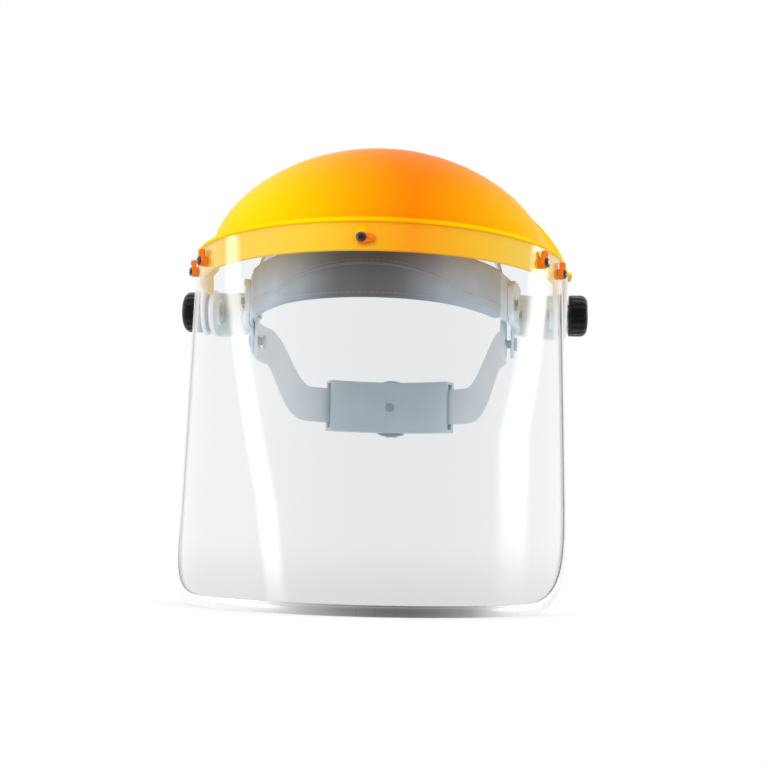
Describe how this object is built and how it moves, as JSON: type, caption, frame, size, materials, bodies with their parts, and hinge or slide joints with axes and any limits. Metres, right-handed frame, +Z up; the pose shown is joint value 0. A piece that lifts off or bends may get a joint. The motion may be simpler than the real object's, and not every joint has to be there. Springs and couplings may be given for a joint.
{
  "type": "face shield",
  "caption": "Half-crown browguard with a clear bound visor that lifts on an adjustable headgear with a nape ratchet",
  "frame": {"origin": "midway between the two temple pivots, on their common axis", "axes": "+Z up, the wearer faces -Y, +X to the wearer's left"},
  "size_m": [0.2596, 0.2452, 0.2776],
  "materials": {
    "crown_plastic": "glossy moulded plastic, yellow to orange",
    "visor_clear": "clear polished sheet",
    "binding_metal": "bright rolled edging",
    "latch_plastic": "moulded, as the crown",
    "rivet_metal": "dark plated steel",
    "washer_metal": "plain plated steel",
    "headband_plastic": "dark grey moulded plastic",
    "sweatband_fabric": "padded woven cover, stitched",
    "strap_plastic": "blue-grey moulded plastic",
    "knob_black": "black moulded plastic",
    "nut_brass": "turned brass",
    "pinion_plastic": "natural plastic",
    "plate_plastic": "grey plastic"
  },
  "bodies": {
    "headgear": {"headband": "headband_plastic", "sweatband": "sweatband_fabric", "arm_left": "strap_plastic", "arm_right": "strap_plastic", "arm_rivets": "washer_metal", "crown_strap_left": "strap_plastic", "crown_strap_right": "strap_plastic", "temple_pins": "headband_plastic", "pivot_bolts": "washer_metal", "stop_plates": "plate_plastic", "friction_washers": "pinion_plastic", "spring_washers": "washer_metal"},
    "crown": {"crown_shell": "crown_plastic", "visor_window": "visor_clear", "visor_binding": "binding_metal", "latch_rivets": "rivet_metal", "latch_washers": "washer_metal"},
    "latch_front": {"latch_front": "latch_plastic"},
    "latch_left_fore": {"latch_left_fore": "latch_plastic"},
    "latch_left_aft": {"latch_left_aft": "latch_plastic"},
    "latch_right_fore": {"latch_right_fore": "latch_plastic"},
    "latch_right_aft": {"latch_right_aft": "latch_plastic"},
    "knob_left": {"pivot_knob_left": "knob_black", "knob_nut_left": "nut_brass"},
    "knob_right": {"pivot_knob_right": "knob_black", "knob_nut_right": "nut_brass"},
    "nape": {"ratchet_housing": "strap_plastic", "ratchet_cover": "strap_plastic", "ratchet_spring": "washer_metal"},
    "ratchet": {"ratchet_pinion": "pinion_plastic", "ratchet_knob": "headband_plastic", "ratchet_screw": "washer_metal"},
    "strap_left": {"nape_strap_left": "strap_plastic"},
    "strap_right": {"nape_strap_right": "strap_plastic"}
  },
  "joints": [
    {"name": "shield_lift", "type": "hinge", "parent": "headgear", "child": "crown", "pos_m": [0, 0, 0], "axis": [-1, 0, 0], "range_deg": [0, 90]},
    {"name": "latch_front_turn", "type": "hinge", "parent": "crown", "child": "latch_front", "pos_m": [0, -0.145, 0.0137], "axis": [0, -1, 0], "range_deg": [0, 90]},
    {"name": "latch_left_fore_turn", "type": "hinge", "parent": "crown", "child": "latch_left_fore", "pos_m": [0.09699, -0.089, 0.0137], "axis": [0.866, -0.5, 0], "range_deg": [-90, 0]},
    {"name": "latch_left_aft_turn", "type": "hinge", "parent": "crown", "child": "latch_left_aft", "pos_m": [0.10867, -0.0601, 0.0137], "axis": [0.9703, -0.2419, 0], "range_deg": [-90, 0]},
    {"name": "latch_right_fore_turn", "type": "hinge", "parent": "crown", "child": "latch_right_fore", "pos_m": [-0.09699, -0.089, 0.0137], "axis": [-0.866, -0.5, 0], "range_deg": [0, 90]},
    {"name": "latch_right_aft_turn", "type": "hinge", "parent": "crown", "child": "latch_right_aft", "pos_m": [-0.10867, -0.0601, 0.0137], "axis": [-0.9703, -0.2419, 0], "range_deg": [0, 90]},
    {"name": "knob_left_turn", "type": "hinge", "parent": "headgear", "child": "knob_left", "pos_m": [0.122, 0, 0], "axis": [1, 0, 0], "range_deg": [-180, 180]},
    {"name": "knob_right_turn", "type": "hinge", "parent": "headgear", "child": "knob_right", "pos_m": [-0.122, 0, 0], "axis": [-1, 0, 0], "range_deg": [-180, 180]},
    {"name": "nape_tilt", "type": "hinge", "parent": "headgear", "child": "nape", "pos_m": [0.082, -0.002, -0.019], "axis": [1, 0, 0], "range_deg": [-8, 8]},
    {"name": "ratchet_turn", "type": "hinge", "parent": "nape", "child": "ratchet", "pos_m": [0, 0.08, -0.053], "axis": [0, 1, 0], "range_deg": [-90, 90]},
    {"name": "strap_left_draw", "type": "hinge", "parent": "nape", "child": "strap_left", "pos_m": [0, -0.002, -0.053], "axis": [0, 0, -1], "range_deg": [-8.2, 8.2]},
    {"name": "strap_right_draw", "type": "hinge", "parent": "nape", "child": "strap_right", "pos_m": [0, -0.002, -0.053], "axis": [0, 0, 1], "range_deg": [-8.2, 8.2]}
  ],
  "couplings": [
    {"joint": "strap_left_draw", "follows": "ratchet_turn", "ratio": 0.090395},
    {"joint": "strap_right_draw", "follows": "ratchet_turn", "ratio": 0.090395}
  ]
}
